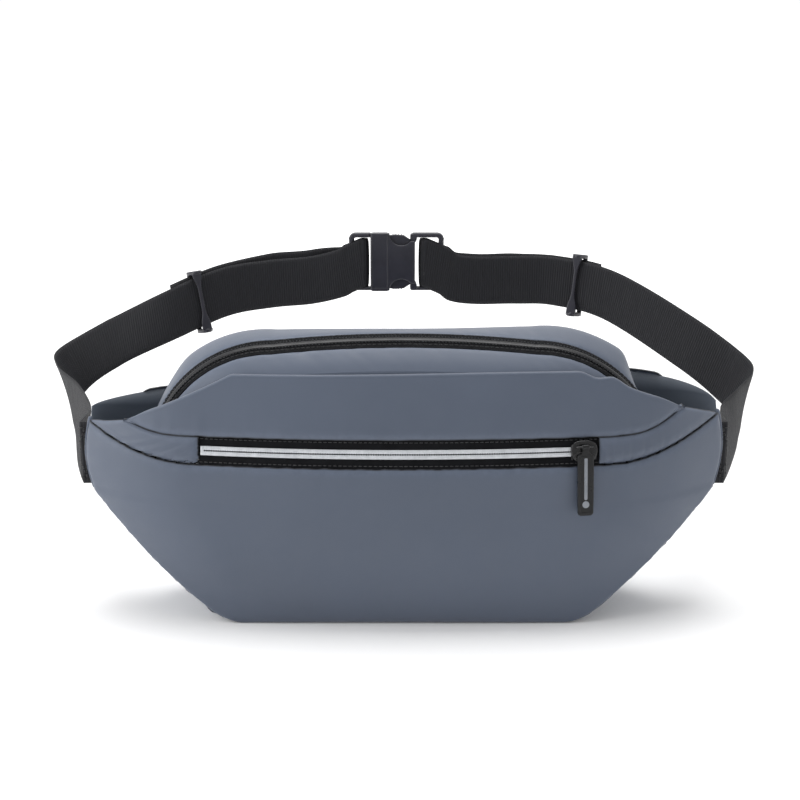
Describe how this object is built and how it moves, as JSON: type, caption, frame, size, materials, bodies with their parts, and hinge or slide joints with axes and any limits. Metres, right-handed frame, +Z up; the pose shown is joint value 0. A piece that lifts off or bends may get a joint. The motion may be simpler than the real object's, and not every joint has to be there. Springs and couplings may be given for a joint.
{
  "type": "waist pack",
  "caption": "Stuffed waist pack with pointed side wings, arched top zip, front pocket with a bright zip in a dark window, and a standing webbing belt closed by a side-release buckle.",
  "frame": {"origin": "centre of the flat base, on the surface it stands on", "axes": "+X to the right seen from the front, -Y towards the front, +Z up; belt_swing turns about +X through the side seams"},
  "size_m": [0.5064, 0.3022, 0.2015],
  "materials": {
    "coated_fabric": "matte",
    "lining": "matte",
    "webbing": "matte",
    "buckle_plastic": "satin",
    "zip_tape": "matte",
    "zip_coil": "satin",
    "reflective_teeth": "satin",
    "slider_metal": "satin",
    "pull_rubber": "satin",
    "pull_inlay": "satin",
    "foam": "matte",
    "board": "matte"
  },
  "bodies": {
    "bag": {"front_lower_panel": "coated_fabric", "front_zip_band_left": "coated_fabric", "front_zip_band_right": "coated_fabric", "front_upper_panel": "coated_fabric", "top_front_panel": "coated_fabric", "top_rear_panel": "coated_fabric", "back_panel": "coated_fabric", "base_panel": "coated_fabric", "end_gusset_left": "coated_fabric", "end_gusset_right": "coated_fabric", "wing_valley_left": "coated_fabric", "wing_valley_right": "coated_fabric", "side_seam_left": "coated_fabric", "side_seam_right": "coated_fabric", "front_zip_tape_lower": "zip_tape", "front_zip_tape_upper": "zip_tape", "front_zip_teeth_lower": "reflective_teeth", "front_zip_teeth_upper": "reflective_teeth", "front_zip_stops": "reflective_teeth", "main_zip_tape_front": "zip_tape", "main_zip_tape_rear": "zip_tape", "main_zip_coil": "zip_coil", "rear_zip_tape": "zip_tape", "rear_zip_coil": "zip_coil", "front_pocket_lining": "lining", "main_lining": "lining", "back_foam": "foam", "base_board": "board", "strap_anchor_left": "webbing", "strap_anchor_right": "webbing"},
    "belt": {"strap_left": "webbing", "strap_right": "webbing", "strap_loop_left": "webbing", "strap_loop_right": "webbing", "strap_tail_left": "webbing", "strap_tail_right": "webbing", "buckle_female": "buckle_plastic"},
    "buckle_male": {"buckle_male": "buckle_plastic"},
    "buckle_arm_upper": {"buckle_arm_upper": "buckle_plastic"},
    "buckle_arm_lower": {"buckle_arm_lower": "buckle_plastic"},
    "triglide_left": {"triglide_left": "buckle_plastic"},
    "triglide_right": {"triglide_right": "buckle_plastic"},
    "front_slider": {"front_zip_slider": "slider_metal"},
    "front_pull": {"front_zip_pull": "pull_rubber", "front_pull_inlay": "pull_inlay"},
    "main_slider": {"main_zip_slider": "slider_metal"},
    "main_pull": {"main_zip_pull": "pull_rubber"},
    "rear_slider": {"rear_zip_slider": "slider_metal"},
    "rear_pull": {"rear_zip_pull": "pull_rubber"}
  },
  "joints": [
    {"name": "belt_swing", "type": "hinge", "parent": "bag", "child": "belt", "pos_m": [0, 0, 0.0945], "axis": [1, 0, 0], "range_deg": [-30, 40]},
    {"name": "buckle_release", "type": "slide", "parent": "belt", "child": "buckle_male", "axis": [-1, 0, 0], "range_m": [0, 0.034], "deforming": ["strap_loop_left"]},
    {"name": "buckle_press_upper", "type": "hinge", "parent": "buckle_male", "child": "buckle_arm_upper", "pos_m": [-0.0225, 0.25, 0.192], "axis": [0, 1, 0], "range_deg": [0, 7], "stiffness_Nm_per_rad": 1.2},
    {"name": "buckle_press_lower", "type": "hinge", "parent": "buckle_male", "child": "buckle_arm_lower", "pos_m": [-0.0225, 0.25, 0.164], "axis": [0, -1, 0], "range_deg": [0, 7], "stiffness_Nm_per_rad": 1.2},
    {"name": "triglide_left_slide", "type": "slide", "parent": "belt", "child": "triglide_left", "axis": [0.8669, 0.3684, 0.3359], "range_m": [-0.004, 0.004]},
    {"name": "triglide_right_slide", "type": "slide", "parent": "belt", "child": "triglide_right", "axis": [-0.8787, 0.4393, 0.1867], "range_m": [-0.004, 0.004]},
    {"name": "front_zip", "type": "hinge", "parent": "bag", "child": "front_slider", "pos_m": [0, 0.70737, 0.106], "axis": [0, 0, 1], "range_deg": [-15.4, 0]},
    {"name": "front_pull_swing", "type": "hinge", "parent": "front_slider", "child": "front_pull", "pos_m": [0.10157, -0.03998, 0.10964], "axis": [0.9909, 0.1347, 0], "range_deg": [-100, 0]},
    {"name": "main_zip", "type": "hinge", "parent": "bag", "child": "main_slider", "pos_m": [0.076, -0.0098, 0.0885], "axis": [0, -1, 0], "range_deg": [0, 62]},
    {"name": "main_pull_swing", "type": "hinge", "parent": "main_slider", "child": "main_pull", "pos_m": [0.14648, -0.01195, 0.12141], "axis": [0.3514, 0.9231, 0.1564], "range_deg": [-16, 0]},
    {"name": "rear_zip", "type": "slide", "parent": "bag", "child": "rear_slider", "axis": [-1, 0, 0], "range_m": [0, 0.176]},
    {"name": "rear_pull_swing", "type": "hinge", "parent": "rear_slider", "child": "rear_pull", "pos_m": [0.0866, 0.04377, 0.13941], "axis": [0, -0.2519, 0.9677], "range_deg": [-100, 0]}
  ]
}
